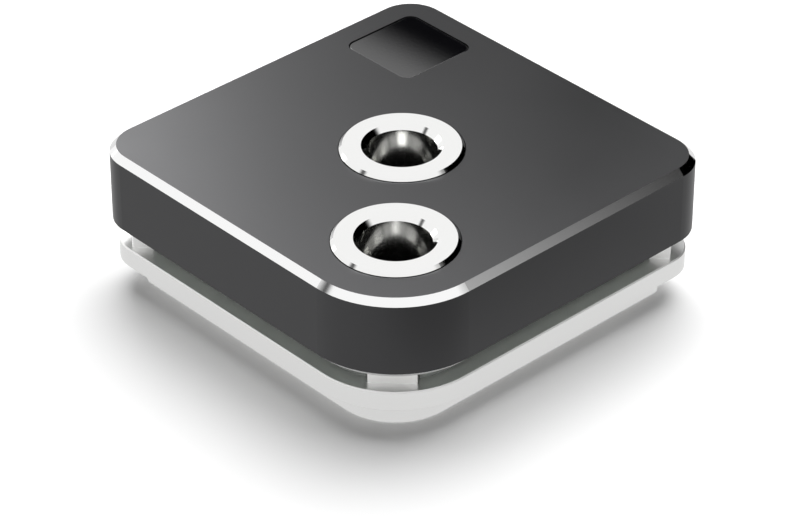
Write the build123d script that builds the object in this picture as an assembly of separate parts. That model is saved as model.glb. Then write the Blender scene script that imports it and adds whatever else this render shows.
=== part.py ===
"""Liquid cooling cold plate for a processor, in millimetres.

The plate stands on its contact face: z = 0 is that face, and the origin is the
middle of the central port's axis on it. The two ports lie on the diagonal that
runs to the wide corner, at +X -Y.
"""
from build123d import *
from math import hypot
import os

# Outline, seen from above: a square with three close corners and one wide one
side = 71.0
corner_radius = 7.1
wide_corner_radius = 16.5

# Heights, from the contact face up
pedestal_height = 5.3
flange_thickness = 3.6
slot_height = 3.0
cover_height = 14.7

# How far each storey is drawn in from the cover's outline
flange_inset = 0.9
neck_inset = 4.0
pedestal_inset = 5.2
pedestal_corner_radius = 1.9
pedestal_wide_radius = 10.7
edge_break = 0.2

# Cover
edge_chamfer = 1.1
cover_wall = 2.2
cover_roof = 2.5

# Ports. The outlet lies midway between the inlet's collar and the wide corner, and a little out
outlet_shift = 0.5
bore_radius = 5.8
bore_depth = 8.6
mouth_chamfer = 0.83
bore_step = 1.6
insert_wall = 2.0
insert_length = 11.0
collar_width = 2.4
collar_proud = 0.6
collar_sunk = 1.0
collar_chamfer = 0.5
port_seal_setback = 0.3
port_seal_width = 1.4
port_seal_height = 1.3

# Badge plate in its recess, its middle set in from both of the back corner's sides
badge_side = 15.4
badge_radius = 1.9
badge_inset = 13.0
badge_thickness = 0.8
badge_depth = 0.12
badge_edge = 0.15
adhesive_thickness = 0.15
adhesive_margin = 0.6

# Screws, two along each side
screw_radius = 1.25
screw_length = 10.0
screw_head_radius = 2.25
screw_head_height = 2.5
screw_socket_across = 2.0
screw_socket_depth = 1.3
screw_side_distance = 8.5
screw_corner_distance = 25.5
tapped_depth = 5.0
tapped_end_gap = 0.4

# Water space of the manifold, from the screws inward
screw_wall = 1.15
perimeter_seal_width = 2.2
perimeter_seal_height = 1.5
perimeter_seal_radius = 6.5
gallery_wall = 0.95
gallery_radius = 6.0
gallery_roof = 1.0
end_channel = 6.0
side_channel = 5.5
tower_radius = 2.0
funnel_height = 3.6
outlet_web = 1.0
seal_edge = 0.4

# Fin field and the recess that holds it
fin_floor = 3.2
fin_thickness = 0.4
fin_pitch = 0.8
fin_height = 3.8
fin_end_gap = 4.0
recess_margin = 0.5
recess_radius = 2.0

# Jet plate and its gasket
jet_plate_thickness = 0.8
jet_plate_setback = 1.0
jet_slot_margin = 3.5
jet_slot_width = 1.2
jet_gasket_thickness = 1.0
jet_gasket_slot = 3.0
jet_gasket_slot_radius = 1.0

# Corner standoffs
standoff_width = 8.0
standoff_length = 5.6
standoff_setback = 3.4
standoff_edge = 0.4
spigot_radius = 1.5
spigot_length = 2.0
spigot_end_gap = 0.2

# Clearances
fit_clearance = 0.15
screw_clearance = 0.15
thread_clearance = 0.03
press_clearance = 0.02

# Levels that follow
flange_bottom = pedestal_height
flange_top = flange_bottom + flange_thickness
cover_bottom = flange_top + slot_height
cover_top = cover_bottom + cover_height
manifold_top = cover_top - cover_roof
collar_top = cover_top + collar_proud
collar_seat = cover_top - collar_sunk
bore_bottom = collar_top - bore_depth
cone_bottom = bore_bottom - bore_step
insert_bottom = collar_top - insert_length
port_seal_bottom = insert_bottom - port_seal_height
gallery_top = port_seal_bottom - gallery_roof
outlet_floor = flange_top + perimeter_seal_height + outlet_web
badge_top = cover_top - badge_depth
badge_bottom = badge_top - badge_thickness
badge_floor = badge_bottom - adhesive_thickness
fin_top = fin_floor + fin_height
jet_plate_top = fin_top + jet_plate_thickness
tower_bottom = jet_plate_top + jet_gasket_thickness
funnel_top = tower_bottom + funnel_height
tapped_bottom = flange_top - tapped_depth
screw_bottom = tapped_bottom + tapped_end_gap
head_seat = screw_bottom + screw_length
head_top = head_seat + screw_head_height
spigot_bottom = flange_top - spigot_length

# Widths that follow
passage_radius = bore_radius - bore_step
insert_radius = bore_radius + insert_wall
collar_radius = insert_radius + collar_width
port_seal_inner = bore_radius + port_seal_setback
port_seal_outer = port_seal_inner + port_seal_width
screw_hole = screw_radius + screw_clearance
screw_line = side / 2 - screw_side_distance
groove_width = perimeter_seal_width + 2 * fit_clearance
seal_middle = screw_line - screw_hole - screw_wall - groove_width / 2
gallery_width = 2 * (seal_middle - groove_width / 2 - gallery_wall)
tower_length = gallery_width - 2 * end_channel
tower_width = gallery_width - 2 * side_channel
recess_width = tower_width + 2 * recess_margin
fin_length = gallery_width - 2 * fin_end_gap
fin_count = int(tower_width / fin_pitch)
jet_plate_length = fin_length - 2 * jet_plate_setback
jet_slot_length = tower_width - 2 * jet_slot_margin

# Each corner's direction from the middle, and its radius
corners = {
    "front": (Vector(1, -1), wide_corner_radius),
    "right": (Vector(1, 1), corner_radius),
    "back": (Vector(-1, 1), corner_radius),
    "left": (Vector(-1, -1), corner_radius),
}


def apex(radius):
    """Distance along the diagonal from the middle to a rounded corner of the cover."""
    return hypot(side, side) / 2 - hypot(radius, radius) + radius


def diagonal(direction, level):
    """Plane at a level whose own X runs from the middle towards a corner."""
    return Plane(origin=(0, 0, level), x_dir=direction, z_dir=(0, 0, 1))


outlet_distance = (collar_radius + apex(wide_corner_radius) - edge_chamfer) / 2 + outlet_shift
inlet = Vector(0, 0)
outlet = Vector(1, -1).normalized() * outlet_distance
badge_centre = Vector(-1, 1) * (side / 2 - badge_inset)
screw_side = side / 2 - screw_corner_distance
screw_places = [
    Vector(*place)
    for across in (screw_line, -screw_line)
    for along in (screw_side, -screw_side)
    for place in ((across, along), (along, across))
]


def rounded_square(width, radius, wide_radius):
    """A square with three equal corners and a wider one at +X -Y."""
    to_wide_corner = Axis((0, 0, 0), (1, -1, 0))
    square = Rectangle(width, width)
    square = fillet(square.vertices().sort_by(to_wide_corner)[-1], wide_radius)
    return fillet(square.vertices().sort_by(to_wide_corner)[:3], radius)


def outline(inset):
    """The cover's outline drawn in all round by inset, with its corners still concentric."""
    return rounded_square(side - 2 * inset, corner_radius - inset, wide_corner_radius - inset)


def slab(sketch, bottom, top):
    return extrude(Pos(0, 0, bottom) * sketch, amount=top - bottom)


def disc(radius, bottom, top, place=inlet):
    return slab(Pos(place) * Circle(radius), bottom, top)


def ring(inner, outer, bottom, top, place=inlet):
    return slab(Pos(place) * (Circle(outer) - Circle(inner)), bottom, top)


def corner_block(direction, outer_end, length, width):
    """Block as high as the slot, reaching inward along a diagonal from its outer end."""
    face = Rectangle(length, width, align=(Align.MAX, Align.CENTER))
    return extrude(diagonal(direction, flange_top) * Pos(outer_end, 0) * face, amount=slot_height)


def spigot(direction, radius, corner, bottom):
    """Round peg below a standoff's middle, down from the flange's top."""
    middle = apex(corner) - standoff_setback - standoff_length / 2
    foot = diagonal(direction, bottom) * Pos(middle, 0) * Circle(radius)
    return extrude(foot, amount=flange_top - bottom)


def cover():
    """Anodised shell: roof and four walls, with both outer edges chamfered."""
    shell = slab(outline(0), cover_bottom, cover_top)
    faces = shell.faces().sort_by(Axis.Z)
    shell = chamfer(faces[0].edges() + faces[-1].edges(), edge_chamfer)
    shell -= slab(outline(cover_wall), cover_bottom, manifold_top)
    for place in (inlet, outlet):
        shell -= disc(collar_radius + fit_clearance, collar_seat, cover_top, place)
        shell -= disc(insert_radius + fit_clearance, manifold_top, collar_seat, place)
    recess = Pos(badge_centre) * RectangleRounded(badge_side, badge_side, badge_radius)
    return shell - slab(recess, badge_floor, cover_top)


def badge_sheet(margin, bottom, top):
    width = badge_side - 2 * margin
    sheet = RectangleRounded(width, width, badge_radius - margin)
    return slab(Pos(badge_centre) * sheet, bottom, top)


def badge_plate():
    """Gloss plate a little below the cover's face, with its upper edge rounded."""
    plate = badge_sheet(fit_clearance, badge_bottom, badge_top)
    return fillet(plate.faces().sort_by(Axis.Z)[-1].edges(), badge_edge)


def port_insert(place):
    """Threaded port: a collar that clamps the cover, and a cone down to the passage."""
    profile = Polyline(
        (passage_radius, insert_bottom),
        (insert_radius, insert_bottom),
        (insert_radius, collar_seat),
        (collar_radius, collar_seat),
        (collar_radius, collar_top - collar_chamfer),
        (collar_radius - collar_chamfer, collar_top),
        (bore_radius + mouth_chamfer, collar_top),
        (bore_radius, collar_top - mouth_chamfer),
        (bore_radius, bore_bottom),
        (passage_radius, cone_bottom),
        close=True,
    )
    return Pos(place) * revolve(Plane.XZ * make_face(profile), Axis.Z)


def port_seal(place):
    seal = ring(port_seal_inner, port_seal_outer, port_seal_bottom, insert_bottom, place)
    return fillet(seal.edges().filter_by(GeomType.CIRCLE), seal_edge)


def perimeter_track(width):
    """Closed track round the wet space, on the seal's middle line."""
    outer = RectangleRounded(
        2 * seal_middle + width, 2 * seal_middle + width, perimeter_seal_radius + width / 2
    )
    inner = RectangleRounded(
        2 * seal_middle - width, 2 * seal_middle - width, perimeter_seal_radius - width / 2
    )
    return slab(outer - inner, flange_top, flange_top + perimeter_seal_height)


def perimeter_seal():
    seal = perimeter_track(perimeter_seal_width)
    rims = seal.faces().filter_by(Axis.Z)
    return fillet(rims[0].edges() + rims[1].edges(), seal_edge)


def standoff(direction, corner):
    """Block that keeps the slot open at a corner, pegged into the flange."""
    block = corner_block(direction, apex(corner) - standoff_setback, standoff_length, standoff_width)
    block = fillet(block.edges().filter_by(Axis.Z), standoff_edge)
    return block + spigot(direction, spigot_radius, corner, spigot_bottom)


def gasket_slot():
    return RectangleRounded(jet_gasket_slot, jet_slot_length, jet_gasket_slot_radius)


def funnel():
    """Long and narrow over the jet plate's slot, round where it meets the inlet's passage."""
    mouth = Pos(0, 0, tower_bottom) * gasket_slot()
    throat = Pos(0, 0, funnel_top) * Circle(passage_radius)
    return loft([mouth, throat])


def manifold():
    """Body with both port seats, the gallery round the jet tower and the slot's neck."""
    body = slab(outline(neck_inset), flange_top, cover_bottom)
    body += slab(outline(cover_wall + fit_clearance), cover_bottom, manifold_top)
    for direction, corner in corners.values():
        length = standoff_setback + standoff_length + fit_clearance
        body -= corner_block(direction, apex(corner), length, standoff_width + 2 * fit_clearance)
    gallery = RectangleRounded(gallery_width, gallery_width, gallery_radius)
    body -= slab(gallery, flange_top, gallery_top)
    tower = RectangleRounded(tower_length, tower_width, tower_radius)
    body += slab(tower, tower_bottom, gallery_top)
    body -= funnel()
    body -= disc(passage_radius, funnel_top, insert_bottom, inlet)
    body -= disc(passage_radius, outlet_floor, insert_bottom, outlet)
    for place in (inlet, outlet):
        body -= disc(insert_radius + thread_clearance, insert_bottom, manifold_top, place)
        body -= ring(port_seal_inner, port_seal_outer, port_seal_bottom, insert_bottom, place)
    body -= perimeter_track(groove_width)
    for place in screw_places:
        body -= disc(screw_head_radius + screw_clearance, head_seat, manifold_top, place)
        body -= disc(screw_hole, flange_top, head_seat, place)
    return body


def jet_plate():
    plate = RectangleRounded(jet_plate_length, tower_width, tower_radius)
    plate -= SlotOverall(jet_slot_length, jet_slot_width, rotation=90)
    return slab(plate, fin_top, jet_plate_top)


def jet_gasket():
    pad = RectangleRounded(tower_length, tower_width, tower_radius) - gasket_slot()
    return slab(pad, jet_plate_top, tower_bottom)


def cold_plate():
    """Flange, pedestal and fin field, cut from one block."""
    flange = slab(outline(flange_inset), flange_bottom, flange_top)
    faces = flange.faces().sort_by(Axis.Z)
    plate = chamfer(faces[0].edges() + faces[-1].edges(), edge_break)
    width = side - 2 * pedestal_inset
    foot = rounded_square(width, pedestal_corner_radius, pedestal_wide_radius)
    pedestal = slab(foot, 0, flange_bottom)
    plate += chamfer(pedestal.faces().sort_by(Axis.Z)[0].edges(), edge_break)
    recess = RectangleRounded(gallery_width, recess_width, recess_radius)
    plate -= slab(recess, fin_floor, flange_top)
    fin = slab(Rectangle(fin_length, fin_thickness), fin_floor, fin_top)
    plate += [place * fin for place in GridLocations(0, fin_pitch, 1, fin_count)]
    for place in screw_places:
        plate -= disc(screw_radius + thread_clearance, tapped_bottom, flange_top, place)
    for direction, corner in corners.values():
        hole_bottom = spigot_bottom - spigot_end_gap
        plate -= spigot(direction, spigot_radius + press_clearance, corner, hole_bottom)
    return plate


def body_screw(place):
    """Socket-head screw, head up in the manifold and thread in the flange."""
    shape = disc(screw_head_radius, head_seat, head_top) + disc(screw_radius, screw_bottom, head_seat)
    socket = RegularPolygon(screw_socket_across / 2, 6, major_radius=False)
    shape -= slab(socket, head_top - screw_socket_depth, head_top)
    return Pos(place) * shape


parts = {
    "cover": cover(),
    "badge_plate": badge_plate(),
    "badge_adhesive": badge_sheet(adhesive_margin, badge_floor, badge_bottom),
    "inlet_port_insert": port_insert(inlet),
    "outlet_port_insert": port_insert(outlet),
    "inlet_port_seal": port_seal(inlet),
    "outlet_port_seal": port_seal(outlet),
    "manifold": manifold(),
    "jet_plate": jet_plate(),
    "jet_gasket": jet_gasket(),
    "perimeter_seal": perimeter_seal(),
    "cold_plate": cold_plate(),
    "body_screws": Compound(children=[body_screw(place) for place in screw_places]),
}
for name, (direction, corner) in corners.items():
    parts["standoff_" + name] = standoff(direction, corner)

os.makedirs("parts", exist_ok=True)
for node, shape in parts.items():
    export_step(shape, "parts/" + node + ".step")
    print(node, round(shape.volume, 1))
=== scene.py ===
"""Looks for a liquid cooling cold plate: finishes for its solids, and a plain studio."""

from math import cos, radians, sin, sqrt

import bpy
from mathutils import Matrix, Vector


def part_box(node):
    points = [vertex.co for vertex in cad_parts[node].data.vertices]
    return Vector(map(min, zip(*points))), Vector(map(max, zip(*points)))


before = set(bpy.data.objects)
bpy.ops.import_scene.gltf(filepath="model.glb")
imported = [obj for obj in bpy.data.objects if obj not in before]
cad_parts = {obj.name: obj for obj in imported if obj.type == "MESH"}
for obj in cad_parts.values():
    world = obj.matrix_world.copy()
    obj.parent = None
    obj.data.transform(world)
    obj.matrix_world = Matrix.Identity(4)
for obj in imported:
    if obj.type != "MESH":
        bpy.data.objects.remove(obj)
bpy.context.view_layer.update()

bl_info = {
    "name": "Cold Plate Looks",
    "version": (1, 0, 0),
    "blender": (4, 5, 0),
    "location": "View3D > Sidebar > Cold Plate",
    "description": "Finishes and studio for a liquid cooling cold plate",
    "category": "Object",
}

MM = 0.001
WHITE = (1.0, 1.0, 1.0, 1.0)

# Heights that part one finish from the next, a hair above the face that they follow
HAIR = 0.05 * MM
FLANGE_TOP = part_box("cold_plate")[1].z + HAIR
NECK_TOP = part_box("cover")[0].z + 2 * HAIR
LEAD_IN = 0.83 * MM
BORE_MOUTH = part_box("inlet_port_insert")[1].z - LEAD_IN
BORE_BLEND = 0.3 * MM

# Reach from the middle that lies beyond the water passages, and short of the neck's faces
PASSAGE_REACH = 24.0 * MM

# Slopes, as the size of a face's upward share: 1 lies flat and 0 stands upright
CHAMFER_SLOPE = sqrt(0.5)
CHAMFER_BAND = 0.1
FLAT_SLOPE = 0.9
EDGE_SLOPE = 0.55
EDGE_BAND = 0.35

# Studio, in metres: the floor's shadow fades into the white backdrop between two distances
FLOOR_SIDE = 8.0
SHADOW_REACH = 160.0 * MM
BACKDROP_START = 300.0 * MM
MIRRORED_PAINT = (0.05, 0.05, 0.05, 1.0)
COVER_MIDDLE = Vector((0.0, 0.0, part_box("cover")[1].z))

# Camera: its place, the way back from the plate to it, and its right hand
CAMERA_PLACE = Vector((364.6, -339.3, 343.1)) * MM
CAMERA_BACK = Vector((0.6064, -0.5627, 0.5619))
CAMERA_RIGHT = Vector((0.6802, 0.7330, 0.0))
SENSOR_WIDTH = 36.0

# Level directions for the cards, away from the camera and to its right
VIEW_AWAY = Vector((-0.733, 0.680, 0.0))
VIEW_ACROSS = Vector((0.680, 0.733, 0.0))


def linear(hex_colour):
    """sRGB hex to the linear red, green, blue and alpha that a socket takes."""
    value = hex_colour.lstrip("#")
    channels = [int(value[i : i + 2], 16) / 255 for i in (0, 2, 4)]
    return [c / 12.92 if c <= 0.04045 else ((c + 0.055) / 1.055) ** 2.4 for c in channels] + [1.0]


def new_material(name):
    """Empty node material, and its node tree."""
    material = bpy.data.materials.new(name)
    material.use_nodes = True
    material.node_tree.nodes.clear()
    return material, material.node_tree


def add_node(tree, kind, inputs=None, **settings):
    """One node with its settings; inputs maps a socket's name or number to a value or a socket."""
    node = tree.nodes.new(kind)
    for key, value in settings.items():
        setattr(node, key, value)
    for key, value in (inputs or {}).items():
        if isinstance(value, bpy.types.NodeSocket):
            tree.links.new(value, node.inputs[key])
        else:
            node.inputs[key].default_value = value
    return node


# Settings that a user can change


def colour_property(name, description, hex_colour):
    return bpy.props.FloatVectorProperty(
        name=name,
        description=description,
        default=linear(hex_colour),
        subtype="COLOR",
        size=4,
        min=0,
        max=1,
    )


def number_property(name, description, default, **limits):
    return bpy.props.FloatProperty(name=name, description=description, default=default, **limits)


class ColdPlateFinishes(bpy.types.PropertyGroup):
    """Colours and gloss of the plate's finishes."""

    anodised: colour_property("Anodised cover", "Bead-blasted and dyed aluminium", "#484849")
    polished: colour_property("Cut edge", "Diamond-cut chamfer of the cover", "#F2F2F2")
    nickel: colour_property("Nickel plating", "Nickel on ports, flange and standoffs", "#EDEDEC")
    bore: colour_property("Bore", "Turned nickel-plated brass inside the ports", "#C4C4C2")
    acetal: colour_property("Manifold", "Machined black acetal", "#101010")
    # Painted light: the neck is black acetal, painted a paler grey to stand in for the light that reaches the
    # slot
    neck_painted_light: colour_property("Neck", "Face of the manifold in the slot", "#9EA39E")
    badge: colour_property("Badge plate", "Gloss black plate", "#08080A")
    rubber: colour_property("Seals", "Moulded black rubber", "#1B1B1B")
    steel: colour_property("Steel", "Stainless screws and jet plate", "#B9B9B6")
    bore_roughness: number_property(
        "Bore roughness", "Roughness of the turned bore", 0.15, min=0, max=1, subtype="FACTOR"
    )


class ColdPlateStudio(bpy.types.PropertyGroup):
    """Camera and light of the plain studio."""

    lens: number_property("Lens", "Focal length in millimetres", 165.9, min=10, unit="CAMERA")
    world_level: number_property("Sky", "Strength of the even sky as a light", 0.14, min=0)
    mirror_level: number_property("Mirrored sky", "Strength of the sky in mirrors", 1.05, min=0)
    floor_glow: number_property("Mirrored floor", "Glow of the floor in mirrors", 0.76, min=0)
    key_energy: number_property("Softbox power", "Power of the overhead softbox", 9.5, min=0, unit="POWER")
    key_size: number_property("Softbox size", "Side of the overhead softbox", 0.85, min=0, unit="LENGTH")
    key_distance: number_property(
        "Softbox distance", "Distance of the overhead softbox", 0.7, min=0, unit="LENGTH"
    )
    key_azimuth: number_property(
        "Softbox azimuth", "Bearing of the overhead softbox from +X", radians(123), subtype="ANGLE"
    )
    key_elevation: number_property(
        "Softbox elevation", "Height of the overhead softbox", radians(65.5), min=0, subtype="ANGLE"
    )
    back_level: number_property("Back softbox", "Glow of the softbox behind", 1.05, min=0)
    left_level: number_property("Left softbox", "Glow of the softbox at the left", 5.7, min=0)
    upper_level: number_property("Upper softbox", "Glow of the upper softbox", 7.2, min=0)


def finishes():
    return bpy.context.scene.cold_plate_finishes


def studio():
    return bpy.context.scene.cold_plate_studio


# Finishes


def dress(nodes, material):
    """Give CAD nodes a material in the slots that they already have."""
    for name in nodes:
        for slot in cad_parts[name].material_slots:
            slot.material = material


def grain_bump(tree, coordinates, size_mm, depth_mm, strength):
    """Fine random relief, such as blasting or casting leaves, with a grain of a real size."""
    noise = add_node(
        tree,
        "ShaderNodeTexNoise",
        {"Vector": coordinates, "Scale": 1 / (size_mm * MM), "Detail": 3.0, "Roughness": 0.6},
    )
    bump = add_node(
        tree,
        "ShaderNodeBump",
        {"Strength": strength, "Distance": depth_mm * MM, "Height": noise.outputs["Fac"]},
    )
    return bump.outputs["Normal"]


def anodised_material():
    """Anodised aluminium, bead blasted and then cut: a satin dark skin, and bare bright chamfers.

    The chamfers are told by their slope, so the bright cut runs round both edges of the cover. The
    lower one is rougher than the upper one, and so shows the floor as a soft line.
    """
    material, tree = new_material("anodised aluminium")
    coordinates = add_node(tree, "ShaderNodeTexCoord").outputs["Object"]
    tone = add_node(
        tree,
        "ShaderNodeTexNoise",
        {"Vector": coordinates, "Scale": 1 / (9 * MM), "Detail": 4.0, "Roughness": 0.55},
    )
    blasted = add_node(
        tree, "ShaderNodeMapRange", {"Value": tone.outputs["Fac"], "To Min": 0.33, "To Max": 0.39}
    )
    skin = add_node(
        tree,
        "ShaderNodeBsdfPrincipled",
        {
            "Base Color": finishes().anodised,
            "Metallic": 1.0,
            "Roughness": blasted.outputs["Result"],
            "Normal": grain_bump(tree, coordinates, size_mm=0.12, depth_mm=0.004, strength=0.35),
        },
    )
    facing = add_node(tree, "ShaderNodeNewGeometry")
    slope = add_node(tree, "ShaderNodeSeparateXYZ", {"Vector": facing.outputs["True Normal"]})
    tilt = add_node(tree, "ShaderNodeMath", {0: slope.outputs["Z"]}, operation="ABSOLUTE")
    chamfer = add_node(
        tree,
        "ShaderNodeMath",
        {0: tilt.outputs[0], 1: CHAMFER_SLOPE, 2: CHAMFER_BAND},
        operation="COMPARE",
    )
    lower = add_node(tree, "ShaderNodeMath", {0: slope.outputs["Z"], 1: 0.0}, operation="LESS_THAN")
    polish = add_node(tree, "ShaderNodeMapRange", {"Value": lower.outputs[0], "To Min": 0.08, "To Max": 0.5})
    cut = add_node(
        tree,
        "ShaderNodeBsdfPrincipled",
        {"Base Color": finishes().polished, "Metallic": 1.0, "Roughness": polish.outputs["Result"]},
    )
    both = add_node(
        tree,
        "ShaderNodeMixShader",
        {"Fac": chamfer.outputs[0], 1: skin.outputs["BSDF"], 2: cut.outputs["BSDF"]},
    )
    add_node(tree, "ShaderNodeOutputMaterial", {"Surface": both.outputs["Shader"]})
    return material


def nickel_material():
    """Nickel plating over milled metal, polished on upright sides, where it mirrors the floor.

    Flat faces and all of the slot are satin, as milling leaves them, and the broken edges are dull,
    as tumbling leaves them.
    """
    material, tree = new_material("nickel plating")
    coordinates = add_node(tree, "ShaderNodeTexCoord").outputs["Object"]
    haze = add_node(
        tree,
        "ShaderNodeTexNoise",
        {"Vector": coordinates, "Scale": 1 / (6 * MM), "Detail": 5.0, "Roughness": 0.6},
    )
    satin = add_node(
        tree, "ShaderNodeMapRange", {"Value": haze.outputs["Fac"], "To Min": 0.3, "To Max": 0.38}
    )
    polish = add_node(
        tree, "ShaderNodeMapRange", {"Value": haze.outputs["Fac"], "To Min": 0.08, "To Max": 0.14}
    )
    facing = add_node(tree, "ShaderNodeNewGeometry")
    slope = add_node(tree, "ShaderNodeSeparateXYZ", {"Vector": facing.outputs["True Normal"]})
    tilt = add_node(tree, "ShaderNodeMath", {0: slope.outputs["Z"]}, operation="ABSOLUTE")
    flat = add_node(
        tree, "ShaderNodeMath", {0: tilt.outputs[0], 1: FLAT_SLOPE}, operation="GREATER_THAN"
    )
    edge = add_node(
        tree, "ShaderNodeMath", {0: tilt.outputs[0], 1: EDGE_SLOPE, 2: EDGE_BAND}, operation="COMPARE"
    )
    place = add_node(tree, "ShaderNodeSeparateXYZ", {"Vector": coordinates})
    slot = add_node(
        tree, "ShaderNodeMath", {0: place.outputs["Z"], 1: FLANGE_TOP}, operation="GREATER_THAN"
    )
    milled = add_node(tree, "ShaderNodeMath", {0: flat.outputs[0], 1: slot.outputs[0]}, operation="MAXIMUM")
    rough = add_node(
        tree,
        "ShaderNodeMix",
        {"Factor": milled.outputs[0], "A": polish.outputs["Result"], "B": satin.outputs["Result"]},
    )
    tumbled = add_node(tree, "ShaderNodeMix", {"Factor": edge.outputs[0], "A": rough.outputs[0], "B": 0.6})
    metal = add_node(
        tree,
        "ShaderNodeBsdfPrincipled",
        {
            "Base Color": finishes().nickel,
            "Metallic": 1.0,
            "Roughness": tumbled.outputs[0],
            "Normal": grain_bump(tree, coordinates, size_mm=0.2, depth_mm=0.001, strength=0.15),
        },
    )
    add_node(tree, "ShaderNodeOutputMaterial", {"Surface": metal.outputs["BSDF"]})
    return material


def port_material():
    """Nickel-plated brass: a buffed collar that mirrors sharply, and a darker bore, left as turned."""
    material, tree = new_material("nickel plated port")
    coordinates = add_node(tree, "ShaderNodeTexCoord").outputs["Object"]
    place = add_node(tree, "ShaderNodeSeparateXYZ", {"Vector": coordinates})
    buffed = add_node(
        tree,
        "ShaderNodeMapRange",
        {"Value": place.outputs["Z"], "From Min": BORE_MOUTH - BORE_BLEND, "From Max": BORE_MOUTH},
    )
    haze = add_node(
        tree,
        "ShaderNodeTexNoise",
        {"Vector": coordinates, "Scale": 1 / (5 * MM), "Detail": 5.0, "Roughness": 0.6},
    )
    polish = add_node(
        tree, "ShaderNodeMapRange", {"Value": haze.outputs["Fac"], "To Min": 0.05, "To Max": 0.1}
    )
    rough = add_node(
        tree,
        "ShaderNodeMix",
        {"Factor": buffed.outputs["Result"], "A": finishes().bore_roughness, "B": polish.outputs["Result"]},
    )
    colour = add_node(
        tree,
        "ShaderNodeMix",
        {"Factor": buffed.outputs["Result"], 6: finishes().bore, 7: finishes().nickel},
        data_type="RGBA",
    )
    metal = add_node(
        tree,
        "ShaderNodeBsdfPrincipled",
        {
            "Base Color": colour.outputs[2],
            "Metallic": 1.0,
            "Roughness": rough.outputs[0],
            "Normal": grain_bump(tree, coordinates, size_mm=0.2, depth_mm=0.001, strength=0.15),
        },
    )
    add_node(tree, "ShaderNodeOutputMaterial", {"Surface": metal.outputs["BSDF"]})
    return material


def moulded_material(name, colour, roughness, grain_mm, ior=1.5):
    """Plain polymer: faint mottling of its colour, and a fine moulded grain."""
    material, tree = new_material(name)
    coordinates = add_node(tree, "ShaderNodeTexCoord").outputs["Object"]
    tone = add_node(
        tree,
        "ShaderNodeTexNoise",
        {"Vector": coordinates, "Scale": 1 / (4 * MM), "Detail": 4.0, "Roughness": 0.6},
    )
    darker = [channel * 0.9 for channel in colour[:3]] + [1.0]
    lighter = [min(1.0, channel * 1.1) for channel in colour[:3]] + [1.0]
    shade = add_node(
        tree, "ShaderNodeMix", {"Factor": tone.outputs["Fac"], 6: darker, 7: lighter}, data_type="RGBA"
    )
    body = add_node(
        tree,
        "ShaderNodeBsdfPrincipled",
        {
            "Base Color": shade.outputs[2],
            "Roughness": roughness,
            "IOR": ior,
            "Normal": grain_bump(tree, coordinates, size_mm=grain_mm, depth_mm=0.01, strength=0.3),
        },
    )
    add_node(tree, "ShaderNodeOutputMaterial", {"Surface": body.outputs["BSDF"]})
    return material


def manifold_material():
    """Machined acetal: its passages are black, and its neck in the slot is painted a paler grey, which is
    painted light standing in for the light in the slot.
    """
    material, tree = new_material("machined acetal with painted light neck")
    coordinates = add_node(tree, "ShaderNodeTexCoord").outputs["Object"]
    place = add_node(tree, "ShaderNodeSeparateXYZ", {"Vector": coordinates})
    above = add_node(
        tree, "ShaderNodeMath", {0: place.outputs["Z"], 1: NECK_TOP}, operation="GREATER_THAN"
    )
    across = add_node(tree, "ShaderNodeMath", {0: place.outputs["X"]}, operation="ABSOLUTE")
    along = add_node(tree, "ShaderNodeMath", {0: place.outputs["Y"]}, operation="ABSOLUTE")
    reach = add_node(tree, "ShaderNodeMath", {0: across.outputs[0], 1: along.outputs[0]}, operation="MAXIMUM")
    within = add_node(
        tree, "ShaderNodeMath", {0: reach.outputs[0], 1: PASSAGE_REACH}, operation="LESS_THAN"
    )
    inner = add_node(tree, "ShaderNodeMath", {0: above.outputs[0], 1: within.outputs[0]}, operation="MAXIMUM")
    tone = add_node(
        tree,
        "ShaderNodeTexNoise",
        {"Vector": coordinates, "Scale": 1 / (4 * MM), "Detail": 4.0, "Roughness": 0.6},
    )
    rough = add_node(
        tree, "ShaderNodeMapRange", {"Value": tone.outputs["Fac"], "To Min": 0.22, "To Max": 0.3}
    )
    # The neck gets the paler painted-light grey; the passages and everything above the neck keep the black of
    # the acetal
    colour = add_node(
        tree,
        "ShaderNodeMix",
        {"Factor": inner.outputs[0], 6: finishes().neck_painted_light, 7: finishes().acetal},
        data_type="RGBA",
    )
    body = add_node(
        tree,
        "ShaderNodeBsdfPrincipled",
        {
            "Base Color": colour.outputs[2],
            "Roughness": rough.outputs["Result"],
            "Normal": grain_bump(tree, coordinates, size_mm=0.1, depth_mm=0.01, strength=0.3),
        },
    )
    add_node(tree, "ShaderNodeOutputMaterial", {"Surface": body.outputs["BSDF"]})
    return material


def steel_material():
    """Stainless steel, turned and punched: a plain grey sheen with a fine grain."""
    material, tree = new_material("stainless steel")
    coordinates = add_node(tree, "ShaderNodeTexCoord").outputs["Object"]
    metal = add_node(
        tree,
        "ShaderNodeBsdfPrincipled",
        {
            "Base Color": finishes().steel,
            "Metallic": 1.0,
            "Roughness": 0.3,
            "Normal": grain_bump(tree, coordinates, size_mm=0.15, depth_mm=0.003, strength=0.3),
        },
    )
    add_node(tree, "ShaderNodeOutputMaterial", {"Surface": metal.outputs["BSDF"]})
    return material


class COLDPLATE_OT_cover(bpy.types.Operator):
    """Finish the cover as dark anodised aluminium with bright cut edges"""

    bl_idname = "coldplate.cover"
    bl_label = "Finish Cover"

    def execute(self, context):
        dress(["cover"], anodised_material())
        return {"FINISHED"}


class COLDPLATE_OT_bright_metal(bpy.types.Operator):
    """Finish ports, flange and standoffs as bright nickel"""

    bl_idname = "coldplate.bright_metal"
    bl_label = "Finish Bright Metal"

    def execute(self, context):
        standoffs = ["standoff_" + corner for corner in ("front", "right", "back", "left")]
        dress(["inlet_port_insert", "outlet_port_insert"], port_material())
        dress(["cold_plate"] + standoffs, nickel_material())
        return {"FINISHED"}


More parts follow.
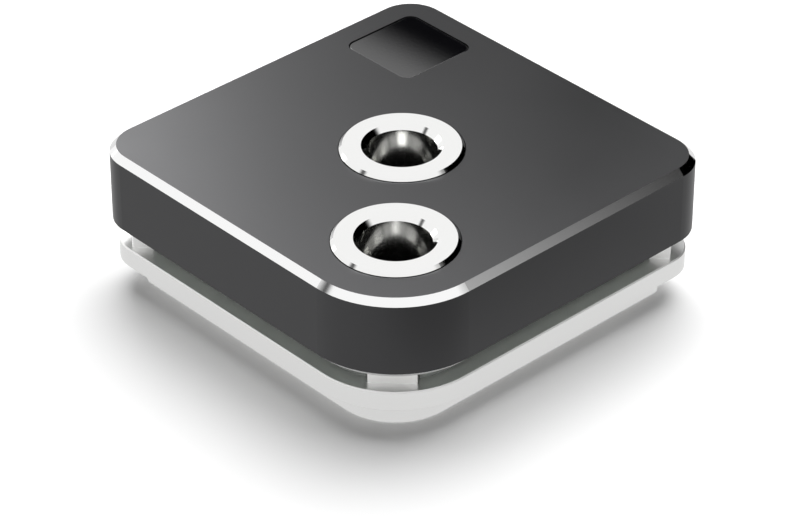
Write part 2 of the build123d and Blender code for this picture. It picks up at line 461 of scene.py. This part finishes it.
class COLDPLATE_OT_polymers(bpy.types.Operator):
    """Finish the manifold, the badge plate, its film and the seals"""

    bl_idname = "coldplate.polymers"
    bl_label = "Finish Polymers"

    def execute(self, context):
        gloss = moulded_material(
            "gloss black plate", finishes().badge, roughness=0.05, grain_mm=0.5, ior=1.75
        )
        rubber = moulded_material("moulded rubber", finishes().rubber, roughness=0.6, grain_mm=0.2)
        seals = ["jet_gasket", "perimeter_seal", "inlet_port_seal", "outlet_port_seal"]
        dress(["manifold"], manifold_material())
        dress(["badge_plate"], gloss)
        dress(["badge_adhesive"] + seals, rubber)
        return {"FINISHED"}


class COLDPLATE_OT_steel(bpy.types.Operator):
    """Finish the screws and the jet plate as stainless steel"""

    bl_idname = "coldplate.steel"
    bl_label = "Finish Steel"

    def execute(self, context):
        dress(["body_screws", "jet_plate"], steel_material())
        return {"FINISHED"}


# Studio: the object stands on the floor at z = 0, seen from the photograph's viewing angle


def bearing(azimuth, elevation, distance):
    """Point seen from the middle of the cover at an azimuth from +X and an elevation."""
    level = distance * cos(elevation)
    return COVER_MIDDLE + Vector((level * cos(azimuth), level * sin(azimuth), distance * sin(elevation)))


def facing_along(direction):
    """Turn that points an object's own Z along a direction, with its Y towards the top."""
    return direction.to_track_quat("Z", "Y").to_matrix().to_4x4()


def card_material(name, width, height, soft, level):
    """Even glow that fades out towards the card's borders; a level of nought makes a black flag."""
    material, tree = new_material(name)
    coordinates = add_node(tree, "ShaderNodeTexCoord").outputs["Object"]
    place = add_node(tree, "ShaderNodeSeparateXYZ", {"Vector": coordinates})
    inside = []
    for axis, size in (("X", width), ("Y", height)):
        off = add_node(tree, "ShaderNodeMath", {0: place.outputs[axis]}, operation="ABSOLUTE")
        fade = add_node(
            tree,
            "ShaderNodeMapRange",
            {"Value": off.outputs[0], "From Min": size / 2, "From Max": size / 2 - soft},
            interpolation_type="SMOOTHSTEP",
        )
        inside.append(fade.outputs["Result"])
    mask = add_node(tree, "ShaderNodeMath", {0: inside[0], 1: inside[1]}, operation="MULTIPLY")
    glow = add_node(tree, "ShaderNodeEmission", {"Color": WHITE, "Strength": level})
    clear = add_node(tree, "ShaderNodeBsdfTransparent")
    both = add_node(
        tree,
        "ShaderNodeMixShader",
        {"Fac": mask.outputs[0], 1: clear.outputs["BSDF"], 2: glow.outputs["Emission"]},
    )
    add_node(tree, "ShaderNodeOutputMaterial", {"Surface": both.outputs["Shader"]})
    return material


def add_card(name, place, facing, size, soft, level, turn=0.0):
    """Card that only mirrors show, turned in its own plane by an angle."""
    width, height = size
    bpy.ops.object.select_all(action="DESELECT")
    bpy.ops.mesh.primitive_plane_add(size=1)
    card = bpy.context.object
    card.name = name
    card.scale = (width, height, 1)
    bpy.ops.object.transform_apply(scale=True)
    card.matrix_world = Matrix.Translation(place) @ facing_along(facing) @ Matrix.Rotation(turn, 4, "Z")
    card.data.materials.append(card_material(name, width, height, soft, level))
    card.visible_camera = False
    card.visible_diffuse = False
    card.visible_shadow = False
    card.visible_transmission = False


def add_back_card(name, distance, sides, soft, level, turn=0.0):
    """Card square to the view behind the plate; sides are left, right, bottom and top in that view."""
    left, right, bottom, top = sides
    middle = VIEW_ACROSS * (left + right) / 2 + Vector((0, 0, (bottom + top) / 2))
    place = VIEW_AWAY * distance + middle
    add_card(name, place, -VIEW_AWAY, (right - left, top - bottom), soft, level, turn)


def add_facing_card(name, azimuth, elevation, distance, size, soft, level):
    """Card that faces the middle of the cover."""
    place = bearing(azimuth, elevation, distance)
    add_card(name, place, COVER_MIDDLE - place, size, soft, level)


class COLDPLATE_OT_studio(bpy.types.Operator):
    """Lay the floor, hang the lights and set the camera"""

    bl_idname = "coldplate.studio"
    bl_label = "Build Studio"

    def execute(self, context):
        scene = context.scene
        scene.view_settings.view_transform = "Standard"
        self.floor()
        self.world(scene)
        self.overhead_light(scene)
        self.softboxes()
        self.flags()
        self.camera(scene)
        return {"FINISHED"}

    def floor(self):
        """White floor: it keeps the shadow, glows evenly in mirrors, and is a white backdrop far away."""
        bpy.ops.object.select_all(action="DESELECT")
        bpy.ops.mesh.primitive_plane_add(size=FLOOR_SIDE)
        floor = bpy.context.object
        floor.name = "floor"
        material, tree = new_material("white studio floor")
        path = add_node(tree, "ShaderNodeLightPath")
        paint = add_node(tree, "ShaderNodeBsdfDiffuse", {"Color": WHITE})
        dim = add_node(tree, "ShaderNodeBsdfDiffuse", {"Color": MIRRORED_PAINT})
        glow = add_node(tree, "ShaderNodeEmission", {"Color": WHITE, "Strength": studio().floor_glow})
        mirrored = add_node(
            tree, "ShaderNodeAddShader", {0: dim.outputs["BSDF"], 1: glow.outputs["Emission"]}
        )
        near = add_node(
            tree,
            "ShaderNodeMixShader",
            {"Fac": path.outputs["Is Glossy Ray"], 1: paint.outputs["BSDF"], 2: mirrored.outputs["Shader"]},
        )
        coordinates = add_node(tree, "ShaderNodeTexCoord").outputs["Object"]
        away = add_node(tree, "ShaderNodeVectorMath", {0: coordinates}, operation="LENGTH")
        far = add_node(
            tree,
            "ShaderNodeMapRange",
            {"Value": away.outputs["Value"], "From Min": SHADOW_REACH, "From Max": BACKDROP_START},
        )
        shown = add_node(
            tree,
            "ShaderNodeMath",
            {0: far.outputs["Result"], 1: path.outputs["Is Camera Ray"]},
            operation="MULTIPLY",
        )
        backdrop = add_node(tree, "ShaderNodeEmission", {"Color": WHITE, "Strength": 1.0})
        ground = add_node(
            tree,
            "ShaderNodeMixShader",
            {"Fac": shown.outputs[0], 1: near.outputs["Shader"], 2: backdrop.outputs["Emission"]},
        )
        add_node(tree, "ShaderNodeOutputMaterial", {"Surface": ground.outputs["Shader"]})
        floor.data.materials.append(material)

    def world(self, scene):
        """Even sky: white to the camera and in mirrors, dimmer as a light, which keeps the shadow deep."""
        world = bpy.data.worlds.new("studio sky")
        world.use_nodes = True
        scene.world = world
        tree = world.node_tree
        tree.nodes.clear()
        path = add_node(tree, "ShaderNodeLightPath")
        shown = add_node(
            tree,
            "ShaderNodeMath",
            {0: path.outputs["Is Camera Ray"], 1: path.outputs["Is Glossy Ray"]},
            operation="MAXIMUM",
        )
        level = add_node(
            tree,
            "ShaderNodeMapRange",
            {"Value": shown.outputs[0], "To Min": studio().world_level, "To Max": studio().mirror_level},
        )
        sky = add_node(tree, "ShaderNodeBackground", {"Color": WHITE, "Strength": level.outputs["Result"]})
        add_node(tree, "ShaderNodeOutputWorld", {"Surface": sky.outputs["Background"]})

    def overhead_light(self, scene):
        """Broad soft light from overhead and a little behind, so that the shadow stays close to the plate."""
        data = bpy.data.lights.new("overhead softbox", "AREA")
        data.shape = "SQUARE"
        data.size = studio().key_size
        data.energy = studio().key_energy
        key = bpy.data.objects.new("overhead softbox", data)
        scene.collection.objects.link(key)
        place = bearing(studio().key_azimuth, studio().key_elevation, studio().key_distance)
        key.matrix_world = Matrix.Translation(place) @ facing_along(place - COVER_MIDDLE)
        key.visible_glossy = False

    def softboxes(self):
        """Bright cards behind the plate, which give the cover's top its sheen and the collars their white."""
        add_back_card(
            "back softbox",
            distance=0.12,
            sides=(-0.11, 0.085, 0.045, 0.19),
            soft=0.03,
            level=studio().back_level,
        )
        add_back_card(
            "left softbox",
            distance=0.119,
            sides=(-0.23, -0.019, 0.055, 0.18),
            soft=0.05,
            level=studio().left_level,
        )
        add_back_card(
            "upper softbox",
            distance=0.118,
            sides=(-0.12, 0.13, 0.16, 0.25),
            soft=0.04,
            level=studio().upper_level,
        )

    def flags(self):
        """Black and grey cards, which give the dark parts of the chamfers, collars, badge plate and sides."""
        add_back_card(
            "corner flag",
            distance=0.1155,
            sides=(0.018, 0.058, 0.06, 0.17),
            soft=0.016,
            level=0.0,
        )
        add_back_card(
            "badge flag",
            distance=0.115,
            sides=(-0.0156, 0.0284, 0.0593, 0.0843),
            soft=0.01,
            level=0.0,
            turn=radians(30),
        )
        add_facing_card(
            "left flag",
            azimuth=radians(235),
            elevation=radians(41),
            distance=0.6,
            size=(0.13, 0.3),
            soft=0.06,
            level=0.1,
        )
        add_facing_card(
            "front flag",
            azimuth=radians(-20),
            elevation=radians(3),
            distance=0.4,
            size=(0.9, 0.24),
            soft=0.08,
            level=0.0,
        )
        beside = bearing(radians(70), 0, 1.0) - COVER_MIDDLE
        behind = Vector((-0.94, 0.342, 0.0))
        add_card(
            "right flag",
            place=beside * 0.6 + behind * 0.4 + Vector((0, 0, 0.25)),
            facing=-beside,
            size=(1.77, 1.2),
            soft=0.29,
            level=0.0,
        )
        add_card(
            "floor flag",
            place=Vector((0.116, -0.06, 0.001)),
            facing=Vector((0, 0, 1)),
            size=(0.14, 0.24),
            soft=0.022,
            level=0.47,
        )

    def camera(self, scene):
        """Camera at the photograph's viewing angle."""
        data = bpy.data.cameras.new("camera")
        data.lens = studio().lens
        data.sensor_width = SENSOR_WIDTH
        camera = bpy.data.objects.new("camera", data)
        scene.collection.objects.link(camera)
        back = CAMERA_BACK.normalized()
        right = (CAMERA_RIGHT - back * CAMERA_RIGHT.dot(back)).normalized()
        up = back.cross(right)
        turn = Matrix((right, up, back)).transposed()
        camera.matrix_world = Matrix.Translation(CAMERA_PLACE) @ turn.to_4x4()
        scene.camera = camera


# Panel and registration


class COLDPLATE_PT_panel(bpy.types.Panel):
    """Colours, light and steps of the cold plate"""

    bl_idname = "COLDPLATE_PT_panel"
    bl_label = "Cold Plate"
    bl_space_type = "VIEW_3D"
    bl_region_type = "UI"
    bl_category = "Cold Plate"

    def draw(self, context):
        for group in (finishes(), studio()):
            box = self.layout.box()
            for name in group.bl_rna.properties.keys():
                if name not in ("rna_type", "name"):
                    box.prop(group, name)
        for step in STEPS:
            self.layout.operator(step.bl_idname)


STEPS = (
    COLDPLATE_OT_cover,
    COLDPLATE_OT_bright_metal,
    COLDPLATE_OT_polymers,
    COLDPLATE_OT_steel,
    COLDPLATE_OT_studio,
)
GROUPS = {"cold_plate_finishes": ColdPlateFinishes, "cold_plate_studio": ColdPlateStudio}


def register():
    for name, group in GROUPS.items():
        bpy.utils.register_class(group)
        setattr(bpy.types.Scene, name, bpy.props.PointerProperty(type=group))
    for step in STEPS + (COLDPLATE_PT_panel,):
        bpy.utils.register_class(step)


def unregister():
    for step in reversed(STEPS + (COLDPLATE_PT_panel,)):
        bpy.utils.unregister_class(step)
    for name, group in GROUPS.items():
        delattr(bpy.types.Scene, name)
        bpy.utils.unregister_class(group)


def main():
    register()
    bpy.ops.coldplate.cover()
    bpy.ops.coldplate.bright_metal()
    bpy.ops.coldplate.polymers()
    bpy.ops.coldplate.steel()
    bpy.ops.coldplate.studio()


if __name__ == "__main__":
    main()
